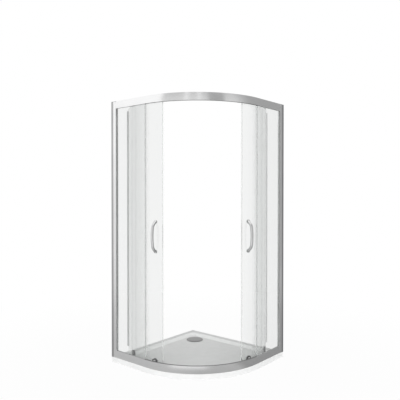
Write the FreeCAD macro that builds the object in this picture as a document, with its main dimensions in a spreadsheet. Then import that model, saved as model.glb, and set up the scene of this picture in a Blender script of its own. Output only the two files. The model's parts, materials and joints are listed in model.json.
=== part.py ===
import FreeCAD, Part
import math
import os
import Sketcher

# Corner shower enclosure with a quadrant bend, millimetres and degrees.
# Origin at the middle of the footprint on the floor. The left wall is the plane of least x,
# the back wall the plane of greatest y, and the bend bulges towards greatest x and least y.
# Left pieces are drawn, right pieces are their mirror images about the diagonal.
# The doors are drawn open, as they stand at rest.

SIZES = {
    # whole enclosure
    "footprint": 900,
    "corner_radius": 550,
    "tray_height": 36,
    "frame_height": 1850,
    "diagonal_angle": 45,
    # tray
    "tray_rim_back": 44,
    "tray_rim_front": 94,
    "tray_slope": 33,
    "tray_recess_depth": 15,
    "tray_recess_round": 40,
    "tray_outer_round": 6,
    "tray_edge_round": 2,
    # drain
    "drain_from_wall": 165,
    "drain_hole_radius": 45,
    "drain_seat_radius": 66.5,
    "drain_seat_depth": 3,
    "drain_flange_radius": 66,
    "drain_collar_radius": 44.5,
    "drain_collar_lift": 1,
    "drain_bore_radius": 40,
    "strainer_radius": 50,
    "strainer_thickness": 2,
    "strainer_hole_radius": 4,
    "strainer_ring_radius": 26,
    "strainer_boss_radius": 9,
    "strainer_boss_height": 2,
    "cover_radius": 65,
    "cover_thickness": 2,
    "cover_edge_lift": 2.5,
    "cover_rise": 2,
    "cover_stem_radius": 5,
    "cover_stem_fit": 0.1,
    # posts
    "post_width": 49,
    "post_depth": 24,
    "post_cap_thickness": 3,
    "wall_profile_width": 21,
    "profile_wall": 2,
    "profile_slip": 0.3,
    "tongue_gap": 9,
    "wall_hole_radius": 3,
    "wall_hole_inset": 123.5,
    "wall_hole_inner_share": 0.35,
    "adjuster_spacing": 760,
    "adjuster_from_wall": 15,
    # screws of the frame
    "frame_screw_radius": 2,
    "frame_screw_fit": 0.05,
    "frame_screw_head_radius": 4,
    "frame_screw_head": 2.4,
    "frame_screw_length": 9,
    "screw_cap_radius": 5.6,
    "screw_cap_wall": 1.2,
    # rails and glazing
    "rail_height": 52,
    "rail_depth": 16,
    "rail_crown": 2,
    "rail_wall": 3,
    "rail_skin": 4.5,
    "groove_inset": 5,
    "groove_width": 7,
    "groove_depth": 14,
    "glass_thickness": 5,
    "glass_bite": 12,
    "gasket_lip": 0.8,
    "corner_block_length": 30,
    "corner_block_fit": 0.2,
    "fixed_seal_clip": 5,
    "fixed_seal_nose": 4,
    "fixed_seal_wall": 1.2,
    "fixed_seal_fin": 3,
    "fin_gap": 0.6,
    "fin_foot_gap": 1,
    # running track behind the top rail
    "joint_gap": 0.2,
    "track_gap": 0.8,
    "track_wall": 2.2,
    "track_depth": 10,
    "track_ledge_drop": 30,
    "track_headroom": 2,
    "track_end_angle": 26.5,
    "bracket_angle": 24,
    "bracket_width": 22,
    "bracket_height": 22,
    "stop_length": 16,
    "stop_height": 14,
    "stop_gap": 0.5,
    # doors
    "door_gap": 0.8,
    "door_top_lap": 15,
    "door_bottom_lift": 9,
    "door_span_angle": 52,
    "door_open_angle": 30,
    "door_overrun_angle": 2,
    "magnet_width": 9,
    "magnet_clip": 5,
    "magnet_gap": 0.15,
    "seal_wall": 1.4,
    "seal_fit": 0.1,
    "seal_end_gap": 1,
    "edge_seal_width": 3,
    "edge_seal_clip": 9,
    "edge_fin_thickness": 1.5,
    "edge_fin_reach": 7.5,
    # hangers and running wheels
    "roller_inset": 75,
    "roller_spacing": 245,
    "hanger_length": 44,
    "hanger_body": 7.5,
    "hanger_cheek": 2.2,
    "hanger_grip": 6,
    "hanger_crest": 10,
    "hanger_cheek_lift": 2,
    "top_wheel_radius": 10,
    "top_wheel_width": 6,
    "top_wheel_side_gap": 1,
    "wheel_edge": 0.8,
    "wheel_gap": 0.3,
    "axle_radius": 3,
    "axle_fit": 0.05,
    "axle_head_radius": 6,
    "axle_head": 2.5,
    "axle_end_gap": 0.3,
    # guide track and guides behind the bottom rail
    "lip_height": 22,
    "lip_thickness": 3,
    "lip_foot": 3,
    "guide_height": 48,
    "guide_radius": 19,
    "guide_thickness": 5.7,
    "guide_gap": 0.7,
    "guide_arm_width": 16,
    "guide_bolt_radius": 4,
    "guide_bolt_fit": 0.05,
    "guide_bolt_head_radius": 6,
    "guide_bolt_head": 3,
    "guide_bolt_end": 1.4,
    "guide_cap_thickness": 4.6,
    "guide_cap_gap": 0.4,
    "guide_cap_edge": 1.2,
    "guide_cap_dish": 1.6,
    "guide_cap_dish_radius": 12.5,
    "guide_wheel_radius": 11,
    "guide_wheel_tread": 7.5,
    "guide_wheel_width": 8,
    "guide_groove_width": 3.8,
    "guide_side_gap": 0.4,
    "glass_hole_radius": 4.6,
    # handles
    "handle_height": 895,
    "handle_spacing": 202,
    "handle_inset": 67,
    "handle_leg": 16,
    "handle_lean_angle": 48,
    "handle_bend": 45,
    "handle_bow_angle": 9,
    "handle_radius": 9.5,
    "rosette_radius": 12,
    "rosette_thickness": 5,
    "washer_thickness": 1,
    "washer_gap": 0.2,
    "handle_screw_radius": 2.5,
    "handle_screw_fit": 0.05,
    "handle_screw_depth": 8,
    "handle_screw_head_radius": 8,
    "handle_screw_head": 3,
}

doc = FreeCAD.newDocument("corner_shower_enclosure")
sheet = doc.addObject("Spreadsheet::Sheet", "Sizes")


class Size:
    """A value together with the expression that works it out from the sheet."""

    def __init__(self, text, value):
        self.text = text
        self.value = value

    def __add__(self, other):
        return Size(f"({self.text} + {other.text})", self.value + other.value)

    def __sub__(self, other):
        return Size(f"({self.text} - {other.text})", self.value - other.value)

    def __neg__(self):
        return Size(f"(0 - {self.text})", -self.value)

    def __mul__(self, other):
        if isinstance(other, Size):
            return Size(f"({self.text} * {other.text})", self.value * other.value)
        return Size(f"({self.text} * {other})", self.value * other)

    def __truediv__(self, other):
        if isinstance(other, Size):
            return Size(f"({self.text} / {other.text})", self.value / other.value)
        return Size(f"({self.text} / {other})", self.value / other)


def sine(angle):
    return Size(f"sin({angle.text})", math.sin(math.radians(angle.value)))


def cosine(angle):
    return Size(f"cos({angle.text})", math.cos(math.radians(angle.value)))


def turn(length, radius):
    """Angle in degrees that an arc of this length takes up at this radius."""
    share = length / radius
    return Size(f"({share.text} * 180 / pi)", math.degrees(share.value))


for row, (name, value) in enumerate(SIZES.items(), 1):
    sheet.set(f"A{row}", name)
    sheet.set(f"B{row}", str(value))
    sheet.setAlias(f"B{row}", name)
doc.recompute()


def size(name):
    return Size(f"Sizes.{name}", float(sheet.get(name)))


ZERO = Size("0", 0.0)
FULL_TURN = Size("360", 360.0)
nodes = []
counter = {}


def unique(stem):
    counter[stem] = counter.get(stem, 0) + 1
    return f"{stem}_{counter[stem]}"


def draw(sketch, points, closed=True):
    """Outline through the points, each point fixed from the sheet.

    A third value at a point is the radius of the arc that leaves it, turning left.
    """
    first = sketch.GeometryCount
    count = len(points)
    edges = count if closed else count - 1
    limits = []
    shapes = []
    for number in range(edges):
        start = points[number]
        end = points[(number + 1) % count]
        a = FreeCAD.Vector(start[0].value, start[1].value, 0)
        b = FreeCAD.Vector(end[0].value, end[1].value, 0)
        if len(start) == 2:
            shapes.append(Part.LineSegment(a, b))
            continue
        radius = start[2].value
        along = b - a
        left = FreeCAD.Vector(-along.y, along.x, 0).normalize()
        centre = (a + b) * 0.5 + left * math.sqrt(max(radius**2 - along.Length**2 / 4, 0))
        begin = math.atan2(a.y - centre.y, a.x - centre.x)
        finish = math.atan2(b.y - centre.y, b.x - centre.x)
        if finish < begin:
            finish += 2 * math.pi
        circle = Part.Circle(centre, FreeCAD.Vector(0, 0, 1), radius)
        shapes.append(Part.ArcOfCircle(circle, begin, finish))
    sketch.addGeometry(shapes, False)
    for number in range(edges):
        if closed or number < edges - 1:
            following = first + (number + 1) % edges
            limits.append((Sketcher.Constraint("Coincident", first + number, 2, following, 1), None))
    for number in range(count):
        edge, corner = (first + number, 1) if number < edges else (first + edges - 1, 2)
        x, y = points[number][:2]
        limits.append((Sketcher.Constraint("DistanceX", -1, 1, edge, corner, x.value), x))
        limits.append((Sketcher.Constraint("DistanceY", -1, 1, edge, corner, y.value), y))
        if len(points[number]) == 3:
            radius = points[number][2]
            limits.append((Sketcher.Constraint("Radius", edge, radius.value), radius))
    base = sketch.ConstraintCount
    sketch.addConstraint([limit for limit, bound in limits])
    for number, (limit, bound) in enumerate(limits):
        if bound is not None:
            sketch.setExpression(f"Constraints[{base + number}]", bound.text)


def new_body(label):
    body = doc.addObject("PartDesign::Body", label)
    body.Label = label
    return body


def new_sketch(body, role, outlines, closed=True):
    sketch = body.newObject("Sketcher::SketchObject", unique(body.Name + "_sketch"))
    plane = next(item for item in body.Origin.OriginFeatures if item.Role == role)
    sketch.AttachmentSupport = (plane, [""])
    sketch.MapMode = "FlatFace"
    for points in outlines:
        draw(sketch, points, closed)
    return sketch


def place(item, x, y, z, angle=None):
    for axis, distance in (("x", x), ("y", y), ("z", z)):
        item.setExpression("Placement.Base." + axis, distance.text)
    if angle is not None:
        item.setExpression("Placement.Rotation.Angle", angle.text)


def add_pad(body, sketch, length, back=False, middle=False):
    pad = body.newObject("PartDesign::Pad", unique(body.Name + "_pad"))
    pad.Profile = sketch
    pad.setExpression("Length", length.text)
    pad.Reversed = back
    pad.Midplane = middle
    return pad


def add_turned(body, sketch, axis, sweep, back=False):
    turned = body.newObject("PartDesign::Revolution", unique(body.Name + "_turned"))
    turned.Profile = sketch
    turned.ReferenceAxis = (sketch, [axis])
    turned.setExpression("Angle", sweep.text)
    turned.Reversed = back
    return turned


def box(x0, x1, y0, y1):
    return [(x0, y0), (x1, y0), (x1, y1), (x0, y1)]


def rounded(x0, x1, y0, y1, front_left, front_right, back_right, back_left):
    return [
        (x0 + front_left, y0),
        (x1 - front_right, y0, front_right),
        (x1, y0 + front_right),
        (x1, y1 - back_right, back_right),
        (x1 - back_right, y1),
        (x0 + back_left, y1, back_left),
        (x0, y1 - back_left),
        (x0, y0 + front_left, front_left),
    ]


def sector(label, start, layers, back=False):
    """Ring segment about the bend axis. Each layer has outlines in radius and height, and a sweep."""
    body = new_body(label)
    for outlines, sweep in layers:
        add_turned(body, new_sketch(body, "XZ_Plane", outlines), "V_Axis", sweep, back)
    place(body, bend_x, bend_y, ZERO, start - right_angle)
    return body


def radial(label, angle, height, outline):
    """Turned piece about a level line out from the bend axis. The outline has radius and half width."""
    body = new_body(label)
    add_turned(body, new_sketch(body, "XZ_Plane", [outline]), "H_Axis", FULL_TURN)
    place(body, bend_x, bend_y, height, angle - right_angle)
    return body


def spindle(label, x, y, z, outline):
    """Turned piece about an upright line."""
    body = new_body(label)
    add_turned(body, new_sketch(body, "XZ_Plane", [outline]), "V_Axis", FULL_TURN)
    place(body, x, y, z)
    return body


def standing(label, outlines, z, length):
    """Upright extrusion of the left post. Outlines run from the wall and from the outer face."""
    body = new_body(label)
    add_pad(body, new_sketch(body, "XY_Plane", outlines), length)
    place(body, -half, -half, z)
    return body


def lying(label, outlines, start, length):
    """Level extrusion out from the left wall. Outlines run from the outer face and in height."""
    body = new_body(label)
    add_pad(body, new_sketch(body, "YZ_Plane", outlines), length)
    place(body, start - half, -half, ZERO)
    return body


def rod(label, axis, start, x, y, z, steps):
    """Turned piece along x or y of the left post from steps of radius and length."""
    body = new_body(label)
    points = [(start, ZERO)]
    reach = start
    for radius, length in steps:
        points.append((reach, radius))
        reach = reach + length
        points.append((reach, radius))
    points.append((reach, ZERO))
    role = "XZ_Plane" if axis == "x" else "YZ_Plane"
    add_turned(body, new_sketch(body, role, [points]), "H_Axis", FULL_TURN)
    place(body, x - half, y - half, z)
    return body


def fuse(label, parts):
    item = doc.addObject("Part::MultiFuse", label)
    item.Label = label
    item.Shapes = parts
    item.Refine = True
    return item


def cut(label, base, tools):
    item = doc.addObject("Part::Cut", label)
    item.Label = label
    item.Base = base
    item.Tool = tools[0] if len(tools) == 1 else group(label + "_tools", tools)
    return item


def group(label, parts):
    item = doc.addObject("Part::Compound", label)
    item.Label = label
    item.Links = parts
    return item


def mirrored(label, source):
    item = doc.addObject("Part::Mirroring", label)
    item.Label = label
    item.Source = source
    item.Base = FreeCAD.Vector(0, 0, 0)
    item.Normal = FreeCAD.Vector(1, 1, 0)
    return item


def keep(item):
    nodes.append(item)
    return item


def keep_pair(item):
    """Keeps a left piece and its mirror image on the right."""
    keep(item)
    return keep(mirrored(item.Label.replace("_left", "_right"), item))


# positions shared by several pieces
half = size("footprint") / 2
corner_radius = size("corner_radius")
bend_x = half - corner_radius
bend_y = corner_radius - half
right_angle = size("diagonal_angle") * 2
leg_end = size("footprint") - corner_radius
deck = size("tray_height")
top = deck + size("frame_height")
rail_height = size("rail_height")
rail_inner = corner_radius - size("rail_depth")
low_rail_top = deck + rail_height
high_rail_foot = top - rail_height
groove_near = size("groove_inset")
groove_far = groove_near + size("groove_width")
glass = size("glass_thickness")
gasket = (size("groove_width") - glass) / 2
glass_near = groove_near + gasket
glass_far = glass_near + glass
pane_foot = low_rail_top - size("glass_bite")
pane_top = high_rail_foot + size("glass_bite")
seal_foot = low_rail_top + size("seal_end_gap")
seal_length = high_rail_foot - size("seal_end_gap") - seal_foot

track_outer = rail_inner - size("track_gap")
track_web = track_outer - size("track_wall")
track_inner = track_outer - size("track_depth")
ledge_top = top - size("track_ledge_drop")
ledge_foot = ledge_top - size("track_wall")
door_outer = track_inner - size("door_gap")
door_inner = door_outer - glass
door_middle = door_outer - glass / 2
door_foot = deck + size("door_bottom_lift")
door_top = high_rail_foot + size("door_top_lap")

lead_angle = size("diagonal_angle") - size("door_open_angle")
trail_angle = lead_angle - size("door_span_angle")
glass_lead = lead_angle - turn(size("magnet_width"), door_middle)
roller_lead = lead_angle - turn(size("roller_inset"), door_middle)
roller_trail = roller_lead - turn(size("roller_spacing"), door_middle)
handle_angle = lead_angle - turn(size("handle_inset"), door_middle)
handle_z = deck + size("handle_height")
roller_angles = (("leading", roller_lead), ("trailing", roller_trail))
rise_half = size("handle_spacing") / 2
guide_z = deck + size("guide_height")

# tray
tray = new_body("shower_tray")
tray_outline = rounded(
    -half, half, -half, half,
    size("tray_outer_round"), corner_radius, size("tray_outer_round"), size("tray_outer_round"),
)
add_pad(tray, new_sketch(tray, "XY_Plane", [tray_outline]), deck)
doc.recompute()
block = tray.Tip
rim_edges = [
    f"Edge{number}"
    for number, edge in enumerate(block.Shape.Edges, 1)
    if abs(edge.BoundBox.ZMin - deck.value) < 1e-6
]
rim_round = tray.newObject("PartDesign::Fillet", "tray_rim_round")
rim_round.Base = (block, rim_edges)
rim_round.setExpression("Radius", size("tray_edge_round").text)


def tray_ring(inset):
    back = size("tray_rim_back") + inset
    front = size("tray_rim_front") + inset
    corner = size("tray_recess_round")
    return rounded(
        back - half, half - front, front - half, half - back,
        corner, corner_radius - front, corner, corner,
    )


recess_mouth = new_sketch(tray, "XY_Plane", [tray_ring(ZERO)])
recess_mouth.setExpression("AttachmentOffset.Base.z", deck.text)
recess_floor = new_sketch(tray, "XY_Plane", [tray_ring(size("tray_slope"))])
tray_floor = deck - size("tray_recess_depth")
recess_floor.setExpression("AttachmentOffset.Base.z", tray_floor.text)
recess = tray.newObject("PartDesign::SubtractiveLoft", "tray_recess")
recess.Profile = recess_mouth
recess.Sections = [recess_floor]
recess.Ruled = True

drain_x = size("drain_from_wall") - half
drain_y = half - size("drain_from_wall")
seat = tray_floor - size("drain_seat_depth")
drain_tool = spindle(
    "drain_opening", drain_x, drain_y, ZERO,
    [
        (ZERO, -deck),
        (size("drain_hole_radius"), -deck),
        (size("drain_hole_radius"), seat),
        (size("drain_seat_radius"), seat),
        (size("drain_seat_radius"), deck),
        (ZERO, deck),
    ],
)
tray.Label = "tray_blank"
keep(cut("shower_tray_cast", tray, [drain_tool])).Label = "shower_tray"

# drain
keep(spindle(
    "drain_flange", drain_x, drain_y, ZERO,
    [
        (size("drain_bore_radius"), size("drain_collar_lift")),
        (size("drain_collar_radius"), size("drain_collar_lift")),
        (size("drain_collar_radius"), seat),
        (size("drain_flange_radius"), seat),
        (size("drain_flange_radius"), tray_floor),
        (size("drain_bore_radius"), tray_floor),
    ],
))
strainer_top = tray_floor + size("strainer_thickness")
boss_top = strainer_top + size("strainer_boss_height")
strainer_bore = size("cover_stem_radius") + size("cover_stem_fit")
strainer_plate = spindle(
    "strainer_plate", drain_x, drain_y, ZERO,
    [
        (strainer_bore, tray_floor),
        (size("strainer_radius"), tray_floor),
        (size("strainer_radius"), strainer_top),
        (size("strainer_boss_radius"), strainer_top),
        (size("strainer_boss_radius"), boss_top),
        (strainer_bore, boss_top),
    ],
)
strainer_holes = []
hole_count = 12
for number in range(hole_count):
    around = right_angle * (4 * number / hole_count)
    hole = doc.addObject("Part::Cylinder", unique("strainer_hole"))
    hole.setExpression("Radius", size("strainer_hole_radius").text)
    hole.setExpression("Height", (deck * 2).text)
    ring = size("strainer_ring_radius")
    place(hole, drain_x + ring * cosine(around), drain_y + ring * sine(around), ZERO)
    strainer_holes.append(hole)
keep(cut("drain_strainer", strainer_plate, strainer_holes))
cover_foot = tray_floor + size("cover_edge_lift")
cover_chord = size("cover_radius")
cover_sphere = (cover_chord * cover_chord / size("cover_rise") + size("cover_rise")) / 2
cover_crest = boss_top + size("cover_thickness")
keep(spindle(
    "drain_cover", drain_x, drain_y, ZERO,
    [
        (ZERO, tray_floor),
        (size("cover_stem_radius"), tray_floor),
        (size("cover_stem_radius"), boss_top),
        (size("strainer_boss_radius"), boss_top),
        (size("cover_radius"), cover_foot),
        (size("cover_radius"), cover_crest - size("cover_rise"), cover_sphere),
        (ZERO, cover_crest),
    ],
))

# posts
post_length = size("frame_height") - size("post_cap_thickness")
wall = size("profile_wall")
post_depth = size("post_depth")
post_width = size("post_width")
jaw = size("wall_profile_width")
post_middle = deck + post_length / 2
channel = standing(
    "wall_channel",
    [[
        (ZERO, ZERO), (jaw, ZERO), (jaw, wall), (wall, wall),
        (wall, post_depth - wall), (jaw, post_depth - wall), (jaw, post_depth), (ZERO, post_depth),
    ]],
    deck, post_length,
)
wall_holes = []
hole_reach = post_length / 2 - size("wall_hole_inset")
for offset in (hole_reach, hole_reach * size("wall_hole_inner_share")):
    for way in (offset, -offset):
        wall_holes.append(rod(
            unique("wall_hole"), "x", -wall, ZERO, post_depth / 2, post_middle + way,
            [(size("wall_hole_radius"), wall * 3)],
        ))
adjuster_x = size("adjuster_from_wall")
adjuster_rises = (post_middle - size("adjuster_spacing"), post_middle, post_middle + size("adjuster_spacing"))
screw_hole = size("frame_screw_radius") + size("frame_screw_fit")
adjuster_start = post_depth - size("frame_screw_length")
adjuster_holes = [
    rod(
        unique("adjuster_hole"), "y", post_depth - wall * 3, adjuster_x, ZERO, rise,
        [(screw_hole, wall * 4)],
    )
    for rise in adjuster_rises
]
keep_pair(cut("wall_profile_left", channel, wall_holes + adjuster_holes))

slip = wall + size("profile_slip")
head = jaw + size("profile_slip")
tongue = size("tongue_gap")
slot = post_width - size("groove_depth")
upright_bar = standing(
    "upright_bar",
    [
        [
            (tongue, slip), (head, slip), (head, ZERO), (post_width, ZERO),
            (post_width, groove_near), (slot, groove_near), (slot, groove_far), (post_width, groove_far),
            (post_width, post_depth), (head, post_depth), (head, post_depth - slip),
            (tongue, post_depth - slip),
        ],
        [
            (tongue + wall, slip + wall), (slot - wall, slip + wall),
            (slot - wall, groove_far + wall), (post_width - wall, groove_far + wall),
            (post_width - wall, post_depth - wall), (head + wall, post_depth - wall),
            (head + wall, post_depth - slip - wall), (tongue + wall, post_depth - slip - wall),
        ],
    ],
    deck, post_length,
)
chamber_near = size("rail_skin")
chamber_far = size("rail_depth") - size("rail_wall")
chamber_span = rail_height - size("groove_depth") - size("rail_wall") * 2
low_chamber = deck + size("rail_wall")
high_chamber = top - size("rail_wall") - chamber_span
block_middle = (chamber_near + chamber_far) / 2
block_rises = (low_chamber + chamber_span / 2, high_chamber + chamber_span / 2)
block_length = size("corner_block_length")
rail_screw_start = slot - wall - size("frame_screw_head")
rail_screw_length = size("groove_depth") + wall + block_length * 2 / 3
rail_holes = [
    rod(
        unique("rail_screw_hole"), "x", slot - wall * 2, ZERO, block_middle, rise,
        [(screw_hole, wall * 3)],
    )
    for rise in block_rises
]
upright_adjuster_holes = [
    rod(
        unique("adjuster_thread"), "y", post_depth - wall * 4, adjuster_x, ZERO, rise,
        [(screw_hole, wall * 4)],
    )
    for rise in adjuster_rises
]
keep_pair(cut("upright_profile_left", upright_bar, rail_holes + upright_adjuster_holes))
keep_pair(standing(
    "post_cap_left", [box(ZERO, post_width, ZERO, post_depth)],
    deck + post_length, size("post_cap_thickness"),
))

# screws of the posts and corners
adjusters = []
covers = []
cap_wall = size("screw_cap_wall")
cap_depth = size("frame_screw_head") + cap_wall
for rise in adjuster_rises:
    adjusters.append(rod(
        unique("adjuster_screw"), "y", adjuster_start, adjuster_x, ZERO, rise,
        [
            (size("frame_screw_radius"), size("frame_screw_length")),
            (size("frame_screw_head_radius"), size("frame_screw_head")),
        ],
    ))
    cover_body = new_body(unique("screw_cover"))
    cap_inner = size("frame_screw_head_radius") + cap_wall / 2
    cap_outline = [
        (post_depth, cap_inner), (post_depth, size("screw_cap_radius")),
        (post_depth + cap_depth, size("screw_cap_radius") - cap_wall / 2),
        (post_depth + cap_depth, ZERO), (post_depth + size("frame_screw_head") + cap_wall / 4, ZERO),
        (post_depth + size("frame_screw_head") + cap_wall / 4, cap_inner),
    ]
    add_turned(cover_body, new_sketch(cover_body, "YZ_Plane", [cap_outline]), "H_Axis", FULL_TURN)
    place(cover_body, adjuster_x - half, -half, rise)
    covers.append(cover_body)
adjusters_left = group("adjusters_one_side", adjusters)
keep(group("adjuster_screws", [adjusters_left, mirrored("adjusters_other_side", adjusters_left)]))
covers_left = group("covers_one_side", covers)
keep(group("adjuster_screw_caps", [covers_left, mirrored("covers_other_side", covers_left)]))

blocks = []
rail_screws = []
fit = size("corner_block_fit")
for foot, rise in zip((low_chamber, high_chamber), block_rises):
    insert = lying(
        unique("corner_insert"),
        [box(chamber_near + fit, chamber_far - fit, foot + fit, foot + chamber_span - fit)],
        post_width, block_length,
    )
    bore = rod(
        unique("corner_insert_bore"), "x", ZERO, post_width, block_middle, rise,
        [(screw_hole, block_length)],
    )
    blocks.append(cut(unique("corner_insert_bored"), insert, [bore]))
    rail_screws.append(rod(
        unique("rail_screw"), "x", rail_screw_start, ZERO, block_middle, rise,
        [
            (size("frame_screw_head_radius"), size("frame_screw_head")),
            (size("frame_screw_radius"), rail_screw_length),
        ],
    ))
blocks_left = group("corner_blocks_one_side", blocks)
keep(group("corner_blocks", [blocks_left, mirrored("corner_blocks_other_side", blocks_left)]))
rail_screws_left = group("rail_screws_one_side", rail_screws)
keep(group("rail_screws", [rail_screws_left, mirrored("rail_screws_other_side", rail_screws_left)]))

# rails
crown = size("rail_crown")
crown_radius = (rail_height * rail_height / 4 + crown * crown) / (crown * 2)
groove_out = corner_radius - groove_near
groove_in = corner_radius - groove_far
face = corner_radius - crown
rail_leg = leg_end - post_width


def rail(label, outline, foot):
    body = new_body(label)
    hollow = box(corner_radius - chamber_far, corner_radius - chamber_near, foot, foot + chamber_span)
    first = new_sketch(body, "XZ_Plane", [outline, hollow])
    add_turned(body, first, "V_Axis", right_angle)
    add_pad(body, first, rail_leg)
    second = new_sketch(body, "YZ_Plane", [outline, hollow])
    add_pad(body, second, rail_leg, back=True)
    place(body, bend_x, bend_y, ZERO, -right_angle)
    return keep(body)


groove_floor = low_rail_top - size("groove_depth")
groove_roof = high_rail_foot + size("groove_depth")
rail(
    "bottom_rail",
    [
        (rail_inner, deck), (face, deck, crown_radius), (face, low_rail_top),
        (groove_out, low_rail_top), (groove_out, groove_floor),
        (groove_in, groove_floor), (groove_in, low_rail_top), (rail_inner, low_rail_top),
    ],
    low_chamber,
)
rail(
    "top_rail",
    [
        (rail_inner, high_rail_foot), (groove_in, high_rail_foot), (groove_in, groove_roof),
        (groove_out, groove_roof), (groove_out, high_rail_foot),
        (face, high_rail_foot, crown_radius), (face, top), (rail_inner, top),
    ],
    high_chamber,
)
gap = size("joint_gap") / 2
low_lip = low_rail_top + size("gasket_lip")
high_lip = high_rail_foot - size("gasket_lip")
strip_in = groove_in + gap
strip_out = groove_out - gap
low_strip = [
    (strip_in, groove_floor), (strip_out, groove_floor), (strip_out, low_rail_top),
    (face, low_rail_top), (face, low_lip), (rail_inner, low_lip),
    (rail_inner, low_rail_top), (strip_in, low_rail_top),
]
keep(sector("bottom_rail_infill", ZERO, [([low_strip], right_angle)]))
high_strip = [
    (strip_in, groove_roof), (strip_in, high_rail_foot), (rail_inner, high_rail_foot),
    (rail_inner, high_lip), (face, high_lip), (face, high_rail_foot),
    (strip_out, high_rail_foot), (strip_out, groove_roof),
]
keep(sector("top_rail_infill", ZERO, [([high_strip], right_angle)]))

# fixed glass and what holds it
pane_start = post_width - size("glass_bite")
pane_end = leg_end - size("fixed_seal_nose")
pane_height = pane_top - pane_foot
keep_pair(standing("fixed_glass_left", [box(pane_start, pane_end, glass_near, glass_far)], pane_foot, pane_height))
seal_start = pane_end - size("fixed_seal_clip")
upright_core = standing(
    "upright_gasket_core",
    [[
        (slot, groove_near), (post_width, groove_near), (post_width, glass_near),
        (pane_start, glass_near), (pane_start, glass_far), (post_width, glass_far),
        (post_width, groove_far), (slot, groove_far),
    ]],
    pane_foot, pane_height,
)
upright_lips = [
    standing(
        unique("upright_gasket_lip"),
        [box(post_width, post_width + size("gasket_lip"), near, far)],
        low_lip, high_lip - low_lip,
    )
    for near, far in ((ZERO, glass_near), (glass_far, size("rail_depth")))
]
gasket_parts = [
    fuse("upright_gasket", [upright_core] + upright_lips),
    lying(
        "bottom_gasket",
        [[
            (groove_near, groove_floor), (groove_far, groove_floor), (groove_far, low_rail_top),
            (size("rail_depth"), low_rail_top), (size("rail_depth"), low_lip), (glass_far, low_lip),
            (glass_far, pane_foot), (glass_near, pane_foot), (glass_near, low_lip),
            (crown, low_lip), (crown, low_rail_top), (groove_near, low_rail_top),
        ]],
        post_width, pane_end - post_width,
    ),
    lying(
        "top_gasket",
        [[
            (groove_near, high_rail_foot), (crown, high_rail_foot), (crown, high_lip),
            (glass_near, high_lip), (glass_near, pane_top), (glass_far, pane_top),
            (glass_far, high_lip), (size("rail_depth"), high_lip), (size("rail_depth"), high_rail_foot),
            (groove_far, high_rail_foot), (groove_far, groove_roof), (groove_near, groove_roof),
        ]],
        post_width, pane_end - post_width,
    ),
]
keep_pair(group("glazing_gaskets_left", gasket_parts))
clip_near = glass_near - size("fixed_seal_wall")
clip_far = glass_far + size("fixed_seal_wall")
fin_end = corner_radius - door_outer - size("fin_gap")
fin_start = pane_end - size("fixed_seal_fin")
fin_foot = guide_z + size("guide_radius") + size("fin_foot_gap")
seal_clip = standing(
    "fixed_seal_clip_left",
    [[
        (seal_start, clip_near), (leg_end, clip_near), (leg_end, clip_far), (seal_start, clip_far),
        (seal_start, glass_far), (pane_end, glass_far), (pane_end, glass_near), (seal_start, glass_near),
    ]],
    seal_foot, seal_length,
)
seal_fin = standing(
    "fixed_seal_fin_left", [box(fin_start, pane_end, glass_far, fin_end)],
    fin_foot, seal_foot + seal_length - fin_foot,
)
keep_pair(fuse("fixed_panel_seal_left", [seal_clip, seal_fin]))

# running track, its brackets and stops
axle_top_z = ledge_top + size("wheel_gap") + size("top_wheel_radius")
roof = axle_top_z + size("top_wheel_radius") + size("track_headroom")
roof_top = roof + size("track_wall")
track_sweep = right_angle + size("track_end_angle") * 2
keep(sector(
    "top_track", -size("track_end_angle"),
    [([[
        (track_inner, ledge_foot), (track_outer, ledge_foot), (track_outer, roof_top),
        (track_inner, roof_top), (track_inner, roof), (track_web, roof),
        (track_web, ledge_top), (track_inner, ledge_top),
    ]], track_sweep)],
))
bracket_blank = new_body("bracket_blank")
bracket_mid = leg_end - track_outer * sine(size("bracket_angle"))
bracket_near = bracket_mid - size("bracket_width") / 2
bracket_sketch = new_sketch(
    bracket_blank, "XY_Plane",
    [box(bracket_near, bracket_near + size("bracket_width"), size("rail_depth"), corner_radius / 4)],
)
add_pad(bracket_blank, bracket_sketch, size("bracket_height"))
place(bracket_blank, -half, -half, ledge_top)
bracket_tool = spindle(
    "bracket_tool", bend_x, bend_y, ZERO,
    [(ZERO, deck), (track_outer + gap, deck), (track_outer + gap, top), (ZERO, top)],
)
bracket_left = cut("bracket_one_side", bracket_blank, [bracket_tool])
keep(group("track_brackets", [bracket_left, mirrored("bracket_other_side", bracket_left)]))

wheel_outer = track_web - size("top_wheel_side_gap")
wheel_inner = wheel_outer - size("top_wheel_width")
wheel_path = (wheel_outer + wheel_inner) / 2
reach = turn(size("top_wheel_radius") + size("stop_gap"), wheel_path)
stop_sweep = turn(size("stop_length"), wheel_path)
stop_outline = box(track_inner, track_web - gap, ledge_top, ledge_top + size("stop_height"))
open_stop = roller_trail - size("door_overrun_angle") - reach - stop_sweep
shut_stop = roller_lead + size("door_open_angle") + reach
stops_left = group("stops_one_side", [
    sector("open_stop", open_stop, [([stop_outline], stop_sweep)]),
    sector("shut_stop", shut_stop, [([stop_outline], stop_sweep)]),
])
keep(group("door_stops", [stops_left, mirrored("stops_other_side", stops_left)]))

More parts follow.
